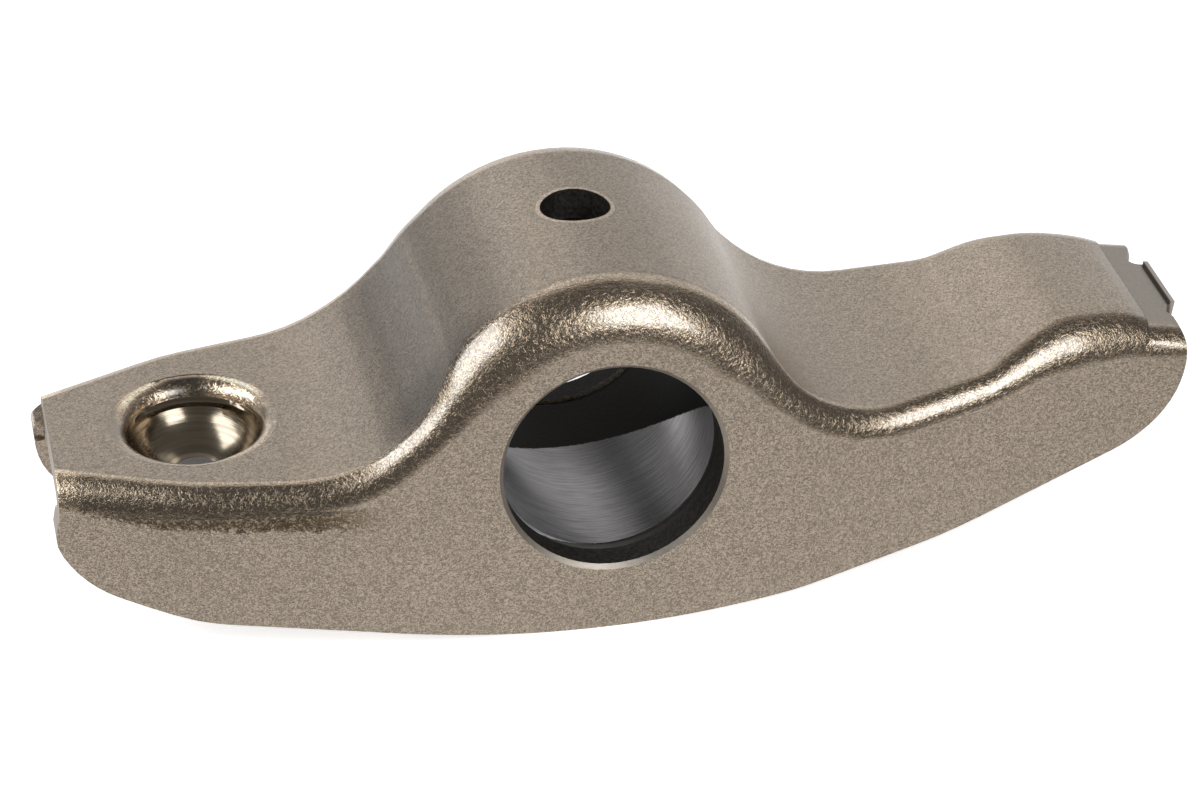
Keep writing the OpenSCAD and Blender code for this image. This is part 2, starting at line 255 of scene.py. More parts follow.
# Colours that belong to one mark or one cut; the hollow's grey and the near ring's colour are
# painted shade, and the tan is the painted highlight before the nose
HOLLOW_SHADE_GREY = (0.345, 0.302, 0.254)
STRIP_GREY = (0.325, 0.295, 0.262)
EDGE_HIGHLIGHT_TAN = (0.47, 0.43, 0.385)
CUT_TINTS = ((0.50, 0.435, 0.365), (0.38, 0.325, 0.265))
PIERCED_TINTS = ((0.27, 0.255, 0.24), (0.20, 0.19, 0.18))
HOLE_TINTS = ((0.045, 0.039, 0.033), (0.105, 0.092, 0.078))
NEAR_BLACK = (0.016, 0.0135, 0.011)
NEAR_RING_SHADE = (0.095, 0.088, 0.08)
WHITE = (1.0, 1.0, 1.0)
PAPER_GREY = (0.9, 0.9, 0.9)

# How bright the surroundings are, where 1 is white
ROOM_LEVEL = 0.15
WALL_LEVEL = 0.60
WALL_LEFT = 0.28
STRIP_LEVEL = 0.75
FLOOR_LEVEL = 1.0

# Heading of the sheet behind the arm, which is the camera's
AHEAD_X, AHEAD_Y = 0.198, 0.98


# Shader helpers

class Value:
    """A number socket that takes part in Python expressions: each operator adds one Math node."""

    def __init__(self, shader, socket):
        self.shader = shader
        self.socket = socket

    def op(self, kind, *others):
        return self.shader.math(kind, self, *others)

    def __add__(self, other):
        return self.op("ADD", other)

    __radd__ = __add__

    def __sub__(self, other):
        return self.op("SUBTRACT", other)

    def __rsub__(self, other):
        return self.shader.math("SUBTRACT", other, self)

    def __mul__(self, other):
        return self.op("MULTIPLY", other)

    __rmul__ = __mul__

    def __truediv__(self, other):
        return self.op("DIVIDE", other)

    def __rtruediv__(self, other):
        return self.shader.math("DIVIDE", other, self)

    def __pow__(self, other):
        return self.op("POWER", other)

    def __neg__(self):
        return self.op("MULTIPLY", -1.0)

    def __abs__(self):
        return self.op("ABSOLUTE")


def distance(a, b):
    """Length of the line whose two legs are a and b."""
    return (a * a + b * b) ** 0.5


class Shader:
    """The node tree of one material or of the world."""

    def __init__(self, owner):
        owner.use_nodes = True
        self.tree = owner.node_tree
        self.tree.nodes.clear()

    def node(self, kind, settings=None, **sockets):
        """Adds a node, sets its settings, then the values or links of its sockets.

        A socket is named with _ for each space, or given as i and its number.
        """
        made = self.tree.nodes.new(kind)
        for name, value in (settings or {}).items():
            setattr(made, name, value)
        for name, value in sockets.items():
            numbered = name[0] == "i" and name[1:].isdigit()
            self.feed(made.inputs[int(name[1:]) if numbered else name.replace("_", " ")], value)
        return made

    def feed(self, socket, value):
        """Links a socket, or sets it: a colour of three numbers gets its fourth."""
        if isinstance(value, Value):
            value = value.socket
        if isinstance(value, bpy.types.NodeSocket):
            self.tree.links.new(value, socket)
        elif socket.type == "RGBA":
            socket.default_value = (*value, 1.0)
        else:
            socket.default_value = value

    def math(self, kind, *values):
        sockets = {"i%d" % i: v for i, v in enumerate(values)}
        return Value(self, self.node("ShaderNodeMath", {"operation": kind}, **sockets).outputs[0])

    def step(self, value, low, high):
        """0 below low, 1 above high and smooth between them."""
        made = self.node("ShaderNodeMapRange", {"interpolation_type": "SMOOTHSTEP"},
                         Value=value, From_Min=low, From_Max=high, To_Min=0.0, To_Max=1.0)
        return Value(self, made.outputs["Result"])

    def fall(self, value, low, high):
        """1 below low, 0 above high and smooth between them."""
        return 1.0 - self.step(value, low, high)

    def line(self, value, middle, half_width):
        """1 where value is at middle, falling to 0 at half_width on both sides."""
        return self.fall(abs(value - middle), half_width * 0.4, half_width)

    def mix(self, factor, first, second):
        """Mixes two colours, each a triple or a socket."""
        return self.node("ShaderNodeMix", {"data_type": "RGBA"},
                         Factor=factor, i6=first, i7=second).outputs[2]

    def scaled(self, vector, factor):
        """Multiplies a vector or a colour by a number."""
        return self.node("ShaderNodeVectorMath", {"operation": "SCALE"},
                         i0=vector, Scale=factor).outputs[0]

    def place(self):
        """Object coordinates in millimetres."""
        return self.scaled(self.node("ShaderNodeTexCoord").outputs["Object"], 1.0 / MM)

    def parts(self, vector):
        made = self.node("ShaderNodeSeparateXYZ", Vector=vector)
        return [Value(self, made.outputs[i]) for i in range(3)]

    def joined(self, x, y, z):
        return self.node("ShaderNodeCombineXYZ", X=x, Y=y, Z=z).outputs[0]

    def noise(self, vector, scale, detail, rough, distortion=0.0):
        """Noise from 0 to 1; scale is in features per millimetre."""
        made = self.node("ShaderNodeTexNoise", Vector=vector, Scale=scale, Detail=detail,
                         Roughness=rough, Distortion=distortion)
        return Value(self, made.outputs["Fac"])

    def attribute(self, name):
        made = self.node("ShaderNodeAttribute", {"attribute_name": name})
        return Value(self, made.outputs["Fac"])

    def bump(self, height, depth):
        """Height from 0 to 1 as a relief of depth metres."""
        return self.node("ShaderNodeBump", Height=height, Distance=depth, Strength=1.0).outputs[0]

    def steel(self, colour, roughness, normal, metallic=1.0, **more):
        made = self.node("ShaderNodeBsdfPrincipled", Base_Color=colour, Roughness=roughness,
                         Metallic=metallic, Normal=normal, **more)
        self.node("ShaderNodeOutputMaterial", Surface=made.outputs[0])


def new_material(name):
    material = bpy.data.materials.new(name)
    return material, Shader(material)


# Marks on the stamping's skin

def worked_skin_and_apron_shade(shader, x, y, z, bend, cells):
    """How far the skin lies in a stretched bend, and where the tail is.

    On the tail an apron of painted shade runs on down the wall below the bend to a ragged edge, carrying the bend's
    dark reflection.
    """
    tail = shader.fall(x, *TAIL_EDGE)
    low_edge = shader.step(x, *APRON_START) * -APRON_DROP - APRON_DEPTH
    above_edge = shader.step(z + (cells - 0.5) * APRON_RAGGED - low_edge, -0.2, 0.2)
    apron = above_edge * shader.fall(z, *APRON_TOP) * tail * shader.step(abs(y), *APRON_SIDE)
    return bend.op("MAXIMUM", apron), tail


def hollow_painted_shade(shader, x, y, z, cloud, cells):
    """Painted shade in the hollow before the dome: a greyer patch with dark lines beside it, and a painted highlight
    along its crease.
    """
    flat = shader.fall(abs(y), *DECK_SIDE) * shader.step(z, *ABOVE_TAIL)
    along = x + (cloud - 0.5) * 1.2 + (cells - 0.5) * 0.5
    grey = shader.step(along, *GREY_START) * shader.fall(along, *GREY_END) * flat
    foot = (shader.line(along, *GREY_FOOT_STRIPE) * 0.24
            + shader.line(along, *GREY_HEAD_STRIPE) * 0.11) * flat
    crease = shader.line(along, *CREASE_STRIPE) * 0.14 * flat
    return grey, foot, crease


def nose_marks(shader, x, y, z):
    """The coined strip past the nose, a band of painted highlight before it, painted shadow in the groove between
    them, and painted shadow at the foot and a painted highlight on the top of the tongue's lip."""
    top = shader.fall(abs(y), *NOSE_SIDE) * shader.step(z, *NOSE_TOP)
    strip = shader.step(x, *STRIP_START) * top
    band = shader.step(x, *BAND_START) * top * shader.fall(x, *BAND_END)
    groove = shader.line(x, *GROOVE_STRIPE) * top
    on_tongue = shader.fall(abs(y), *TONGUE_SIDE)
    lip_foot = shader.line(x, *LIP_FOOT_STRIPE) * on_tongue * top
    lip = shader.step(x, *LIP_START) * on_tongue * top
    return strip, band, groove, lip_foot, lip


def deck_painted_shade(shader, x, y, up):
    """Share taken off by painted shade in the hollow, on the crown and at the hollow's near end."""
    near_end = shader.step(-y, *NEAR_SIDE) * shader.line(x, *NEAR_END_SHADE_STRIPE)
    stain_and_shade = shader.line(x, *HOLLOW_SHADE_STRIPE) * 0.24 + shader.line(x, *CROWN_SHADE_STRIPE) * 0.14
    return stain_and_shade * up + near_end * up * 0.26


def from_cup(x, y):
    """Place along and across the arm from the cup's axis, where the stretched cup counts as round,
    and the distance from that axis."""
    along, across = x - CUP_X, (y - CUP_Y) / CUP_STRETCH
    return along, across, distance(along, across)


def cup_lip_highlights_and_shade(shader, x, y, z):
    """Two painted highlights on the cup's lip, and painted shade between them."""
    along, across, radius = from_cup(x, y)
    round_cup = shader.math("ARCTAN2", across, along) * (180.0 / math.pi)
    on_lip = (shader.line(radius, *CUP_LIP_RING)
              * shader.step(z, *CUP_LIP_LOW) * shader.fall(z, *CUP_LIP_HIGH))
    lip_highlights = (shader.line(round_cup, *LIP_HIGHLIGHT_LEFT)
                 + shader.line(round_cup, *LIP_HIGHLIGHT_RIGHT)) * on_lip
    return lip_highlights, shader.line(round_cup, *LIP_SHADE_MIDDLE) * on_lip


# Materials

def formed_steel(s):
    """Hardened stamping: satin pebbled skin, glossier and wormy on the stretched bends, with painted highlights and
    painted shade laid into its colour.
    """
    material, shader = new_material("formed_steel")
    place = shader.place()
    x, y, z = shader.parts(place)
    bend = shader.attribute("bend")
    tilt = shader.attribute("tilt")
    worms = shader.noise(place, scale=2.9, detail=2.0, rough=0.6, distortion=1.2)
    fine = shader.noise(place, scale=4.8, detail=1.0, rough=0.5, distortion=1.5)
    cells = shader.noise(place, scale=1.7, detail=3.0, rough=0.62, distortion=1.3)
    cloud = shader.noise(place, scale=0.09, detail=3.0, rough=0.55)

    # Painted shade on the tail's bend and on the apron below it
    worked_and_apron_shade, tail = worked_skin_and_apron_shade(shader, x, y, z, bend, cells)
    # Painted highlight at the tail's corner
    corner_highlight = bend * shader.fall(x, *CORNER_HIGHLIGHT)
    grey, foot, crease = hollow_painted_shade(shader, x, y, z, cloud, cells)
    strip, band, groove, lip_foot, lip = nose_marks(shader, x, y, z)
    # Painted highlight along the crest, painted shade on the decks on the pushrod side, painted light on the ramp
    crest = shader.line(tilt, *CREST_STRIPE) * shader.fall(x, *CREST_END)
    up = shader.fall(tilt, *FACING_UP)
    pushrod_side = shader.fall(x, *PUSHROD_SIDE)
    ramp = shader.step(x, *RAMP_START) * shader.fall(x, *RAMP_END) * up
    oil_rim = shader.line(distance(x, y - OIL_Y), *OIL_RIM) * shader.step(z, *CROWN_Z)
    # Painted highlights on the cup's lip, with painted shade between them
    lip_highlights, lip_shade = cup_lip_highlights_and_shade(shader, x, y, z)

    # The coined strip is smooth, and the band of painted highlight between it and the nose half so
    skin = 1.0 - strip * 0.8 - band * 0.5
    relief = (fine * (1.0 - worked_and_apron_shade) * 0.75 + worms * worked_and_apron_shade * 0.9
              + cells * (0.25 + worked_and_apron_shade * (1.2 + tail * 0.25)))
    normal = shader.bump(relief * skin, s.grain_depth)

    base = shader.mix(cloud, tuple(s.skin_colour), tuple(s.dark_colour))
    base = shader.mix(worked_and_apron_shade, base, tuple(s.bend_colour))
    # The hollow's grey is painted shade, and the tan band before the nose a painted highlight
    base = shader.mix(grey * 0.6, base, HOLLOW_SHADE_GREY)
    base = shader.mix(strip * 0.8, base, STRIP_GREY)
    base = shader.mix(band * 0.6, base, EDGE_HIGHLIGHT_TAN)

    # Grain first, then what each mark does to it. Painted highlights: along the crest of the bends, at
    # the tail's corner, on the cup's lip, on the top of the tongue's lip and along the hollow's crease;
    # painted light on the ramp. Painted shade: on the tail's bend and the apron below it, with painted
    # glints in the apron, on the decks on the pushrod side, in the hollow and its dark lines, on the
    # crown, at the hollow's near end, between the lip's highlights, in the groove and at the foot of the
    # tongue's lip. Also a brighter ring round the oil hole, and a little darker overall.
    speck = shader.step(fine, 0.40, 0.60) * (1.0 - worked_and_apron_shade * 0.6)
    spark = shader.step(worms, 0.50, 0.62)
    shade = 0.66 + speck * 0.62 * skin + (1.0 - skin) * 0.26
    for factor in (1.0 + crest * (0.50 + tail * 0.22),
                   1.0 - worked_and_apron_shade * tail * 0.22,
                   1.0 + corner_highlight * 1.1,
                   1.0 - (worked_and_apron_shade - bend) * (0.62 - spark * 0.85),
                   1.04 - up * pushrod_side * 0.07,
                   1.0 - deck_painted_shade(shader, x, y, up),
                   1.0 + ramp * 0.15,
                   1.0 + oil_rim * 0.55,
                   1.0 + lip_highlights * 1.2,
                   1.0 - lip_shade * 0.5,
                   1.0 - groove * 0.6,
                   1.0 - lip_foot * 0.6,
                   1.0 + lip * 0.3,
                   1.0 - foot,
                   1.0 + crease,
                   0.97):
        shade = shade * factor

    rough = s.skin_roughness - bend * 0.07 + (cloud - 0.5) * 0.06 - crest * 0.05 - lip_highlights * 0.11
    shader.steel(shader.scaled(base, shade), rough, normal,
                 Coat_Weight=bend * 0.9, Coat_Roughness=0.2, Coat_IOR=1.85)
    return material


def cup_steel(s):
    """Ball seat: polished and tinted by heat, with fine turning lines and rings under the rim."""
    material, shader = new_material("cup_steel")
    place = shader.place()
    x, y, z = shader.parts(place)
    lines = shader.noise(shader.joined(z * 4.2, x * 0.12, y * 0.12),
                         scale=1.0, detail=3.0, rough=0.6)
    stain_and_shade = shader.noise(place, scale=0.35, detail=2.0, rough=0.5)
    normal = shader.bump(lines * (0.25 + shader.step(z, *UNDER_CUP_RIM)), 0.035 * MM)
    base = shader.mix(stain_and_shade, tuple(s.cup_colour), tuple(s.cup_dark_colour))
    hole_edge = shader.line(from_cup(x, y)[2], *CUP_HOLE_EDGE)
    shade = (0.66 + shader.step(lines, 0.3, 0.7) * 0.34) * (1.0 + hole_edge * 0.8)
    shader.steel(shader.scaled(base, shade), 0.15 + stain_and_shade * 0.08, normal)
    return material


def cut_steel():
    """Sheared and machined edges: smoother and a little brighter than the skin."""
    material, shader = new_material("cut_steel")
    grain = shader.noise(shader.place(), scale=3.0, detail=2.0, rough=0.5)
    shader.steel(shader.mix(grain, *CUT_TINTS), 0.48, shader.bump(grain, 0.02 * MM))
    return material


def pierced_steel():
    """Wall of the hole in the cup: flat grey, neither polished nor scaled."""
    material, shader = new_material("pierced_steel")
    grain = shader.noise(shader.place(), scale=2.4, detail=2.0, rough=0.5)
    shader.steel(shader.mix(grain, *PIERCED_TINTS), 0.6, shader.bump(grain, 0.01 * MM),
                 metallic=0.15)
    return material


def hole_skin():
    """Walls of the holes: dark, left as they were pierced; darker still in the far wall, which is painted shade."""
    material, shader = new_material("hole_skin")
    place = shader.place()
    grain = shader.noise(place, scale=2.6, detail=3.0, rough=0.6)
    # Painted shade on the far wall's hole walls
    far = shader.step(shader.parts(place)[1], *FAR_WALL)
    base = shader.mix(shader.step(grain, 0.3, 0.7), *HOLE_TINTS)
    shader.steel(shader.scaled(base, 1.0 - far * 0.82), 0.6, shader.bump(grain, 0.04 * MM))
    return material


def bore_painted_light(shader, angle, y):
    """Painted light in the bore: brightest towards the near mouth, least in a slanting band of painted dark
    reflection, and brighter on the pushrod and valve sides.
    """
    stripe = shader.fall(abs(angle + y * DARK_BAND_LEAN - DARK_BAND_ANGLE), *DARK_BAND_HALF)
    towards_mouth = shader.fall(y, *BRIGHT_MOUTH)
    pushrod_side = shader.fall(angle, *BORE_PUSHROD_SIDE)
    valve_side = shader.step(angle, *BORE_VALVE_SIDE)
    level = (0.36 + towards_mouth * 1.00) * (1.0 - stripe * 0.86)
    level = level * (1.0 + pushrod_side * towards_mouth * 0.60) * (1.0 + valve_side * 0.45)
    return level, towards_mouth


def bored_steel(s):
    """Sleeve: bright brushed bore with painted light and shade in it, and near black beyond a curved edge.

    Round the bore, angle is 0 at the bottom and grows towards the valve end, in degrees.
    """
    material, shader = new_material("bored_steel")
    place = shader.place()
    x, y, z = shader.parts(place)
    brush = shader.noise(shader.joined(x * 0.3, (y + x * 0.05) * 4.5, z * 0.3),
                         scale=1.0, detail=4.0, rough=0.65)
    grain = shader.noise(place, scale=2.4, detail=3.0, rough=0.6)
    angle = shader.math("ARCTAN2", x, -z) * (180.0 / math.pi)

    # Beyond a curved, ragged edge the bore is near black
    # Each mouth has a rough ring, and only the near one is darkened: painted shade where the sleeve meets the near
    # wall
    from_lowest = angle - NEAR_BLACK_EDGE_ANGLE
    edge = NEAR_BLACK_EDGE_Y - from_lowest * from_lowest * NEAR_BLACK_EDGE_CURVE
    inside = shader.fall(distance(x, z), *FULL_BORE)
    near_black = shader.step(y - edge + (grain - 0.5) * 0.5, *NEAR_BLACK_EDGE_SOFT) * inside
    ring = shader.step(abs(y) - (grain - 0.5) * 0.15 + x * 0.06, *BORE_RING)
    smooth = 1.0 - near_black.op("MAXIMUM", ring)
    normal = shader.bump(brush * smooth * 0.8 + grain * (1.0 - smooth) * 1.2, 0.03 * MM)

    # Painted light and shade in the bore's base colour
    level, towards_mouth = bore_painted_light(shader, angle, y)
    base = shader.mix(shader.step(brush, 0.3, 0.7),
                      tuple(s.bore_dark_colour), tuple(s.bore_colour))
    base = shader.scaled(base, 0.62 + (level - 0.62) * inside)
    base = shader.mix(near_black, base, NEAR_BLACK)
    # The near ring's darker colour is painted shade
    base = shader.mix(ring * shader.fall(y, *FAR_END), base, NEAR_RING_SHADE)
    rough = 0.27 + towards_mouth * 0.16 + ring * 0.2 + near_black * 0.45
    shader.steel(base, rough, normal)
    return material


def floor_white(s):
    """White paper that shows to the camera only, with the soft shadow of what stands on it."""
    material, shader = new_material("floor_white")
    path = shader.node("ShaderNodeLightPath")
    back = shader.node("ShaderNodeNewGeometry")
    glow = shader.node("ShaderNodeEmission", Color=WHITE, Strength=s.floor_glow)
    matt = shader.node("ShaderNodeBsdfDiffuse", Color=PAPER_GREY)
    paper = shader.node("ShaderNodeAddShader", i0=glow.outputs[0], i1=matt.outputs[0])
    camera = Value(shader, path.outputs["Is Camera Ray"])
    seen = camera * (1.0 - Value(shader, back.outputs["Backfacing"]))
    gap = shader.node("ShaderNodeBsdfTransparent")
    both = shader.node("ShaderNodeMixShader", i0=seen, i1=gap.outputs[0], i2=paper.outputs[0])
    shader.node("ShaderNodeOutputMaterial", Surface=both.outputs[0])
    return material


# Mesh helpers

def deselect():
    if bpy.context.object is not None and bpy.context.object.mode != "OBJECT":
        bpy.ops.object.mode_set(mode="OBJECT")
    bpy.ops.object.select_all(action="DESELECT")


def take(obj):
    """Makes obj the only selected and active object."""
    deselect()
    obj.select_set(True)
    bpy.context.view_layer.objects.active = obj


def merge_close(obj, reach, flat_angle=None):
    """Merges vertices nearer than reach, then any faces that turn less than flat_angle."""
    take(obj)
    bpy.ops.object.mode_set(mode="EDIT")
    bpy.ops.mesh.select_all(action="SELECT")
    bpy.ops.mesh.remove_doubles(threshold=reach)
    if flat_angle is not None:
        bpy.ops.mesh.dissolve_limited(angle_limit=flat_angle)
    bpy.ops.object.mode_set(mode="OBJECT")


def copy_of_node(node, name):
    """A free copy of a CAD node's mesh, merged into one closed skin with its flats in one face."""
    source = bpy.data.objects[node]
    shell = source.copy()
    shell.data = source.data.copy()
    shell.name = name
    shell.data.name = name
    shell.parent = None
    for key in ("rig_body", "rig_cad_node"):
        if key in shell:
            del shell[key]
    bpy.context.scene.collection.objects.link(shell)
    take(shell)
    if shell.data.has_custom_normals:
        bpy.ops.mesh.customdata_custom_splitnormals_clear()
    shell.data.materials.clear()
    merge_close(shell, 0.002 * MM, math.radians(0.2))
    return shell


def apply_modifier(obj, kind, **settings):
    take(obj)
    modifier = obj.modifiers.new(kind.lower(), kind)
    for name, value in settings.items():
        setattr(modifier, name, value)
    bpy.ops.object.modifier_apply(modifier=modifier.name)


def smooth_faces(obj):
    """Shades smooth where faces turn little, with true flats."""
    take(obj)
    bpy.ops.object.shade_smooth_by_angle(angle=math.radians(40))
    apply_modifier(obj, "WEIGHTED_NORMAL", keep_sharp=True, weight=60)


def ease_edges(obj, width, limit):
    """Rounds every edge sharper than limit, and merges the needle faces that this leaves."""
    apply_modifier(obj, "BEVEL", width=width, segments=2, limit_method="ANGLE",
                   angle_limit=limit, use_clamp_overlap=True)
    merge_close(obj, 0.001 * MM)
    smooth_faces(obj)


def sleeve_edge(c):
    """Which of the sleeve's round edges the point c, in millimetres, lies on."""
    radius = math.hypot(c.x, c.z)
    from_end = SLEEVE_END - abs(c.y)
    if abs(from_end) < NEAR:
        return "rim" if radius > SLEEVE_OUTER_R - NEAR else "mouth"
    if abs(from_end - SLEEVE_CHAMFER) < NEAR and radius < BORE_R + NEAR:
        return "throat"
    if c.z > 0.0 and abs(math.hypot(c.x, c.y) - SLEEVE_OIL_R) < NEAR:
        return "oil"
    return None


def chamfer_sleeve(obj, wide, narrow):
    """Chamfers the outer edges at both ends wide, so that they clear the bend inside the dome, and
    the mouths and the oil hole narrow."""
    mesh = obj.data
    weights = mesh.attributes.new("bevel_weight_edge", "FLOAT", "EDGE")
    for edge in mesh.edges:
        first, second = (mesh.vertices[i].co / MM for i in edge.vertices)
        place = sleeve_edge(first)
        if place and place == sleeve_edge(second) and (second - first).length <= LONG_EDGE:
            weights.data[edge.index].value = 1.0 if place == "rim" else narrow / wide
    apply_modifier(obj, "BEVEL", width=wide, segments=1, limit_method="WEIGHT",
                   use_clamp_overlap=False)
    smooth_faces(obj)


def smoothstep(value, low, high):
    t = min(1.0, max(0.0, (value - low) / (high - low)))
    return t * t * (3.0 - 2.0 * t)


def cup_distance(x, y):
    """Distance from the cup's axis, in millimetres, where the stretched cup counts as round."""
    return math.hypot(x - CUP_X, (y - CUP_Y) / CUP_STRETCH)


def stretch_cup(obj):
    """Widens the cup across the arm, as the punch left it, about its own axis."""
    take(obj)
    mesh = obj.data
    for part in (mesh.polygons, mesh.edges, mesh.vertices):
        part.foreach_set("select", [False] * len(part))
    for vertex in mesh.vertices:
        x, y, z = vertex.co / MM
        in_reach = math.hypot(x - CUP_X, y - CUP_Y) < CUP_LIP_R + 0.3
        vertex.select = in_reach and vertex.normal.z > -0.2 and -6.5 < z < 1.0
    bpy.ops.object.mode_set(mode="EDIT")
    bpy.ops.mesh.select_mode(type="VERT")
    bpy.ops.transform.resize(value=(1.0, CUP_STRETCH, 1.0),
                             center_override=(CUP_X * MM, CUP_Y * MM, 0.0))
    bpy.ops.object.mode_set(mode="OBJECT")


def trim_near_corner(obj):
    """Draws the top corner of the near wall's end back to the deck's end, along the wall."""
    for vertex in obj.data.vertices:
        x, y, z = vertex.co / MM
        if y < 0.0 and x < DECK_END_X - 0.02:
            back = (DECK_END_X - x) * (1.0 - smoothstep(-z, *TRIM_DEPTH))
            vertex.co.x += back * MM
            vertex.co.y -= back * TAIL_TAPER * MM


def mark_bends(obj):
    """Stores two things for each vertex: how far it lies in a stretched bend, and how its normal
    turns from the deck, 0, to the side walls, 1."""
    mesh = obj.data
    marks = mesh.attributes.new("bend", "FLOAT", "POINT")
    turns = mesh.attributes.new("tilt", "FLOAT", "POINT")
    for vertex in mesh.vertices:
        n = vertex.normal
        x, y, z = vertex.co / MM
        value = smoothstep(min(abs(n.y), n.z), *BEND_TURN) if n.z > 0 else 0.0
        if math.hypot(x, z) < BORE_R + 1.2:
            value = 0.0
        if cup_distance(x, y) < CUP_LIP_R and z < -0.25:
            value = 0.8
        marks.data[vertex.index].value = value
        turns.data[vertex.index].value = math.atan2(abs(n.y), math.hypot(n.x, n.z)) * 2.0 / math.pi


# Which faces get which finish

def assign(obj, material, test=None):
    """Gives material to the faces whose centre and normal, in millimetres, pass the test."""
    obj.data.materials.append(material)
    index = len(obj.data.materials) - 1
    for face in obj.data.polygons:
        if test is None or test(face.center / MM, face.normal):
            face.material_index = index


def in_cup(c, n):
    in_bowl = CUP_HOLE_R + 0.1 < cup_distance(c.x, c.y) < CUP_RIM_R
    return in_bowl and CUP_FLOOR_Z < c.z < CUP_RIM_Z + 0.12 and n.z > -0.3


def in_cup_hole(c, n):
    return cup_distance(c.x, c.y) < CUP_HOLE_R + 0.1 and CUP_HOLE_Z[0] < c.z < CUP_HOLE_Z[1]


def on_cut(c, n):
    in_wall = abs(c.y) > WALL_INNER_Y
    bore = in_wall and math.hypot(c.x, c.z) < BORE_R + 0.45 and 0.2 < abs(n.y) < 0.9
    oil = math.hypot(c.x, c.y - OIL_Y) < OIL_R + 0.3 and c.z > 16.0 and n.z < 0.95
    end = n.x < -0.9 and c.x < DECK_END_X + 0.3
    return bore or oil or end


def in_hole(c, n):
    in_wall = abs(c.y) > WALL_INNER_Y
    bore = in_wall and math.hypot(c.x, c.z) < BORE_R + 0.05 and abs(n.y) <= 0.2
    oil = math.hypot(c.x, c.y - OIL_Y) < OIL_R + 0.02 and c.z > 13.0 and abs(n.z) < 0.3
    return bore or oil


# Settings and operators

def size_property(name, description, default, **more):
    return bpy.props.FloatProperty(name=name, description=description, default=default, **more)


def colour_property(name, description, default):
    return bpy.props.FloatVectorProperty(name=name, description=description, default=default,
                                         subtype="COLOR", min=0.0, max=1.0)


class ArmSettings(bpy.types.PropertyGroup):
    edge_round: size_property(
        "Edge rounding", "Width of the rounding on the stamping's sharp edges",
        0.22 * MM, min=0.0, unit="LENGTH")
    sharp_angle: size_property(
        "Sharp angle", "Edges of the stamping that turn more than this are rounded",
        math.radians(50), subtype="ANGLE")
    sleeve_rim: size_property(
        "Sleeve rim", "Chamfer on the sleeve's outer end edges, to clear the dome's inner bend",
        1.8 * MM, min=0.0, unit="LENGTH")
    sleeve_mouth: size_property(
        "Sleeve mouth", "Chamfer on the edges of the sleeve's mouths and oil hole",
        0.1 * MM, min=0.0, unit="LENGTH")
    grain_depth: size_property(
        "Grain depth", "Depth of the pebbled skin", 0.055 * MM, unit="LENGTH")
    skin_roughness: size_property(
        "Skin roughness", "Roughness of the skin on the flat areas", 0.29, min=0.0, max=1.0)
    skin_colour: colour_property(
        "Skin colour", "Colour of the satin skin", (0.450, 0.372, 0.292))
    dark_colour: colour_property(
        "Darker skin", "Colour of the darker clouds in the skin", (0.400, 0.335, 0.268))
    bend_colour: colour_property(
        "Bend colour", "Colour of the skin on the stretched bends", (0.455, 0.348, 0.238))
    cup_colour: colour_property(
        "Cup colour", "Colour of the polished ball seat", (0.43, 0.355, 0.260))
    cup_dark_colour: colour_property(
        "Cup stain", "Colour of the stains in the ball seat", (0.32, 0.260, 0.190))
    bore_colour: colour_property(
        "Bore colour", "Colour of the bright lines in the bore", (0.60, 0.58, 0.59))
    bore_dark_colour: colour_property(
        "Bore lines", "Colour of the dark lines in the bore", (0.37, 0.355, 0.36))


class StageSettings(bpy.types.PropertyGroup):
    camera_place: bpy.props.FloatVectorProperty(
        name="Camera place", description="Where the camera stands, from the bore's middle",
        default=(-66.331 * MM, -339.114 * MM, 191.535 * MM), subtype="TRANSLATION")
    camera_turn: size_property(
        "Camera turn", "Heading of the camera to the right of +Y",
        math.radians(11.4), subtype="ANGLE")
    camera_fall: size_property(
        "Camera fall", "How far the camera looks down", math.radians(29.3), subtype="ANGLE")
    lens: size_property("Lens", "Focal length in millimetres, on a 36 mm sensor", 129.0)
    floor_glow: size_property(
        "Floor glow", "How much of the floor's white doesn't take the shadow",
        0.72, min=0.0, max=1.0)
    lamp_colour: colour_property("Lamp colour", "Colour of both softboxes", (0.90, 0.95, 1.0))
    right_power: size_property(
        "Right softbox", "Power of the softbox on the right, in watts",
        0.315, min=0.0, unit="POWER")
    left_power: size_property(
        "Left softbox", "Power of the softbox on the left, in watts",
        0.47, min=0.0, unit="POWER")


def made_by(operator, work):
    """Runs the work of an operator; a problem stops it with an error."""
    try:
        work()
    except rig.FrameError as problem:
        operator.report({"ERROR"}, str(problem))
        raise
    return {"FINISHED"}


class ROCKER_OT_shell(bpy.types.Operator):
    """Build the visible stamping round the rocker_body node"""
    bl_idname = "rocker.shell"
    bl_label = "Stamping"

    def execute(self, context):
        return made_by(self, lambda: build_shell(context.scene.rocker_arm))


class ROCKER_OT_sleeve(bpy.types.Operator):
    """Build the visible sleeve round the bearing_sleeve node"""
    bl_idname = "rocker.sleeve"
    bl_label = "Sleeve"

    def execute(self, context):
        return made_by(self, lambda: build_sleeve(context.scene.rocker_arm))


class ROCKER_OT_stage(bpy.types.Operator):
    """Set up the studio light, the white surroundings and the camera"""
    bl_idname = "rocker.stage"
    bl_label = "Studio"

    def execute(self, context):
        return made_by(self, lambda: build_stage(context.scene, context.scene.rocker_stage))


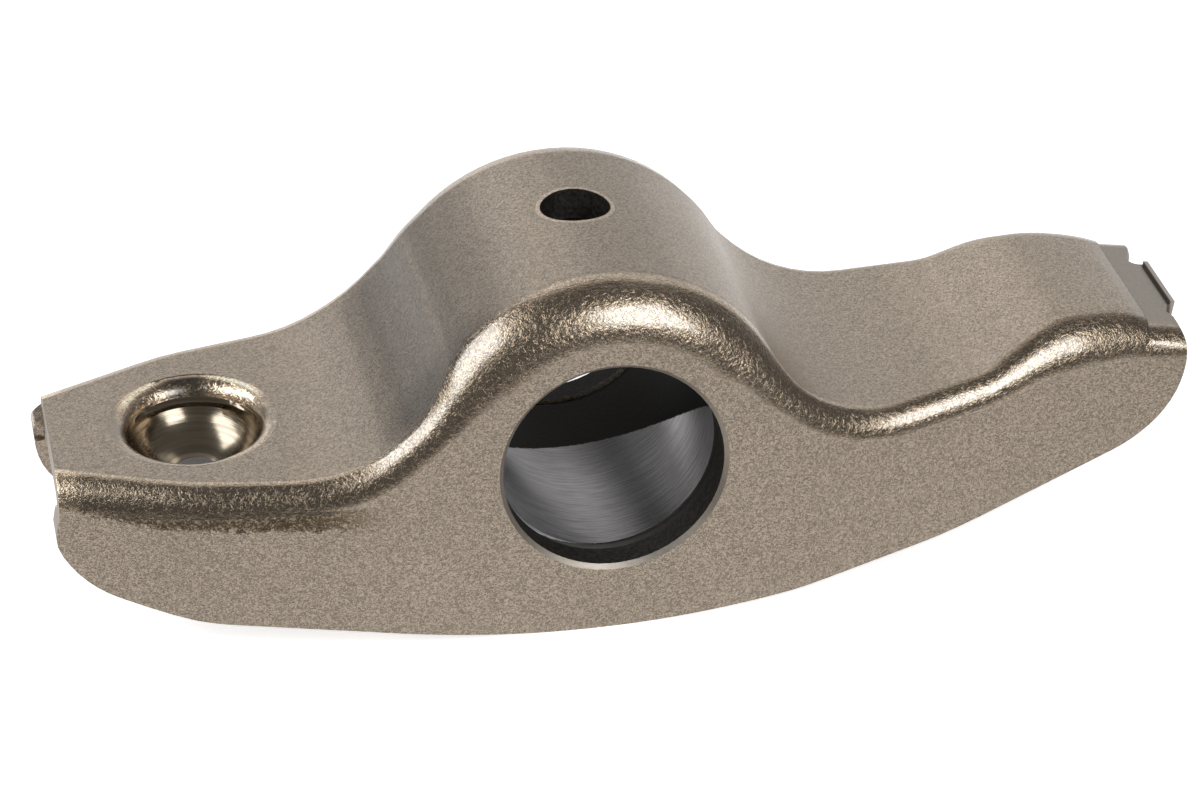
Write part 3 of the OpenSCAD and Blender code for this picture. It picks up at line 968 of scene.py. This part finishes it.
class ROCKER_PT_panel(bpy.types.Panel):
    bl_label = "Rocker arm"
    bl_idname = "ROCKER_PT_panel"
    bl_space_type = "VIEW_3D"
    bl_region_type = "UI"
    bl_category = "Rocker arm"

    def draw(self, context):
        for group in (context.scene.rocker_arm, context.scene.rocker_stage):
            for name in group.__annotations__:
                self.layout.prop(group, name)
        for operator in OPERATORS:
            self.layout.operator(operator.bl_idname)


# Pieces

def build_shell(s):
    shell = copy_of_node(BODY, "arm_shell")
    stretch_cup(shell)
    trim_near_corner(shell)
    ease_edges(shell, s.edge_round, s.sharp_angle)
    mark_bends(shell)
    assign(shell, formed_steel(s))
    assign(shell, cup_steel(s), in_cup)
    assign(shell, cut_steel(), on_cut)
    assign(shell, hole_skin(), in_hole)
    assign(shell, pierced_steel(), in_cup_hole)
    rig.ride(shell, "root")
    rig.slot(shell, "body_steel")
    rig.replaces(shell, BODY)


def build_sleeve(s):
    sleeve = copy_of_node(SLEEVE, "sleeve_shell")
    chamfer_sleeve(sleeve, s.sleeve_rim, s.sleeve_mouth)
    assign(sleeve, bored_steel(s))
    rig.ride(sleeve, "root")
    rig.slot(sleeve, "sleeve_steel")
    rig.replaces(sleeve, SLEEVE)


# Studio

def softbox(name, place, aim, size, power, colour):
    """A rectangular lamp at place, in metres, that faces aim."""
    lamp = bpy.data.lights.new(name, "AREA")
    lamp.shape = "RECTANGLE"
    lamp.size, lamp.size_y = size
    lamp.energy = power
    lamp.color = colour
    obj = bpy.data.objects.new(name, lamp)
    obj.location = place
    obj.rotation_euler = (Vector(place) - Vector(aim)).to_track_quat("Z", "Y").to_euler()
    bpy.context.scene.collection.objects.link(obj)


def build_world(scene):
    """White floor and a pale sheet behind it, in a dark room; the camera sees plain white."""
    world = bpy.data.worlds.new("studio")
    scene.world = world
    shader = Shader(world)
    x, y, z = shader.parts(shader.node("ShaderNodeTexCoord").outputs["Generated"])
    ahead = x * AHEAD_X + y * AHEAD_Y
    behind = shader.step(ahead, -0.1, 0.4)
    sheet = shader.fall(abs(x * AHEAD_Y - y * AHEAD_X) - ahead * 0.66, 0.0, 0.16) * behind
    left = shader.step(y * AHEAD_X - x * AHEAD_Y - ahead * 0.12, 0.0, 0.22)
    wall = sheet * shader.fall(z, 0.52, 0.86) * (WALL_LEVEL + left * WALL_LEFT)
    strip = shader.step(z, 0.62, 0.72) * shader.fall(z, 0.76, 0.84) * sheet * STRIP_LEVEL
    floor = shader.fall(z, behind * 0.31 - 0.46, behind * 0.36 - 0.30)
    level = (ROOM_LEVEL + wall + strip) * (1.0 - floor) + floor * FLOOR_LEVEL
    camera = Value(shader, shader.node("ShaderNodeLightPath").outputs["Is Camera Ray"])
    background = shader.node("ShaderNodeBackground", Color=WHITE,
                             Strength=level * (1.0 - camera) + camera)
    shader.node("ShaderNodeOutputWorld", Surface=background.outputs[0])


def build_floor(s):
    """A sheet of white paper under the arm."""
    deselect()
    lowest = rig.bounds()[0][2]
    bpy.ops.mesh.primitive_plane_add(size=3.0, location=(0.0, 0.0, lowest))
    floor = bpy.context.object
    floor.name = "paper_floor"
    bpy.ops.object.transform_apply(location=True, rotation=False, scale=False)
    floor.data.materials.append(floor_white(s))
    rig.stage(floor)


def build_camera(scene, s):
    data = bpy.data.cameras.new("camera")
    data.sensor_width = 36.0
    data.lens = s.lens
    data.clip_start, data.clip_end = 0.01, 10.0
    camera = bpy.data.objects.new("camera", data)
    turn, fall = s.camera_turn, s.camera_fall
    right = Vector((math.cos(turn), -math.sin(turn), 0.0))
    level = math.cos(fall)
    ahead = Vector((math.sin(turn) * level, math.cos(turn) * level, -math.sin(fall)))
    up = right.cross(ahead)
    camera.matrix_world = Matrix.Translation(s.camera_place) @ Matrix(
        (right, up, -ahead)).transposed().to_4x4()
    scene.collection.objects.link(camera)
    scene.camera = camera


def build_stage(scene, s):
    build_world(scene)
    softbox("softbox_right", place=(0.080, -0.165, 0.135), aim=(0.0, -0.01, 0.01),
            size=(0.14, 0.14), power=s.right_power, colour=s.lamp_colour)
    softbox("softbox_left", place=(-0.245, 0.020, 0.168), aim=(0.0, 0.0, 0.01),
            size=(0.28, 0.12), power=s.left_power, colour=s.lamp_colour)
    build_floor(s)
    build_camera(scene, s)
    scene.view_settings.view_transform = "Standard"


# Main

OPERATORS = (ROCKER_OT_shell, ROCKER_OT_sleeve, ROCKER_OT_stage)
CLASSES = (ArmSettings, StageSettings, *OPERATORS, ROCKER_PT_panel)


def register():
    for cls in CLASSES:
        bpy.utils.register_class(cls)
    bpy.types.Scene.rocker_arm = bpy.props.PointerProperty(type=ArmSettings)
    bpy.types.Scene.rocker_stage = bpy.props.PointerProperty(type=StageSettings)


def unregister():
    del bpy.types.Scene.rocker_arm
    del bpy.types.Scene.rocker_stage
    for cls in reversed(CLASSES):
        bpy.utils.unregister_class(cls)


def main():
    register()
    bpy.ops.rocker.shell()
    bpy.ops.rocker.sleeve()
    bpy.ops.rocker.stage()
    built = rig.bounds()
    with open(SIZE_FILE, "w") as out:
        json.dump({"loaded": [list(p) for p in loaded], "built": [list(p) for p in built]}, out)


if __name__ == "__main__":
    main()
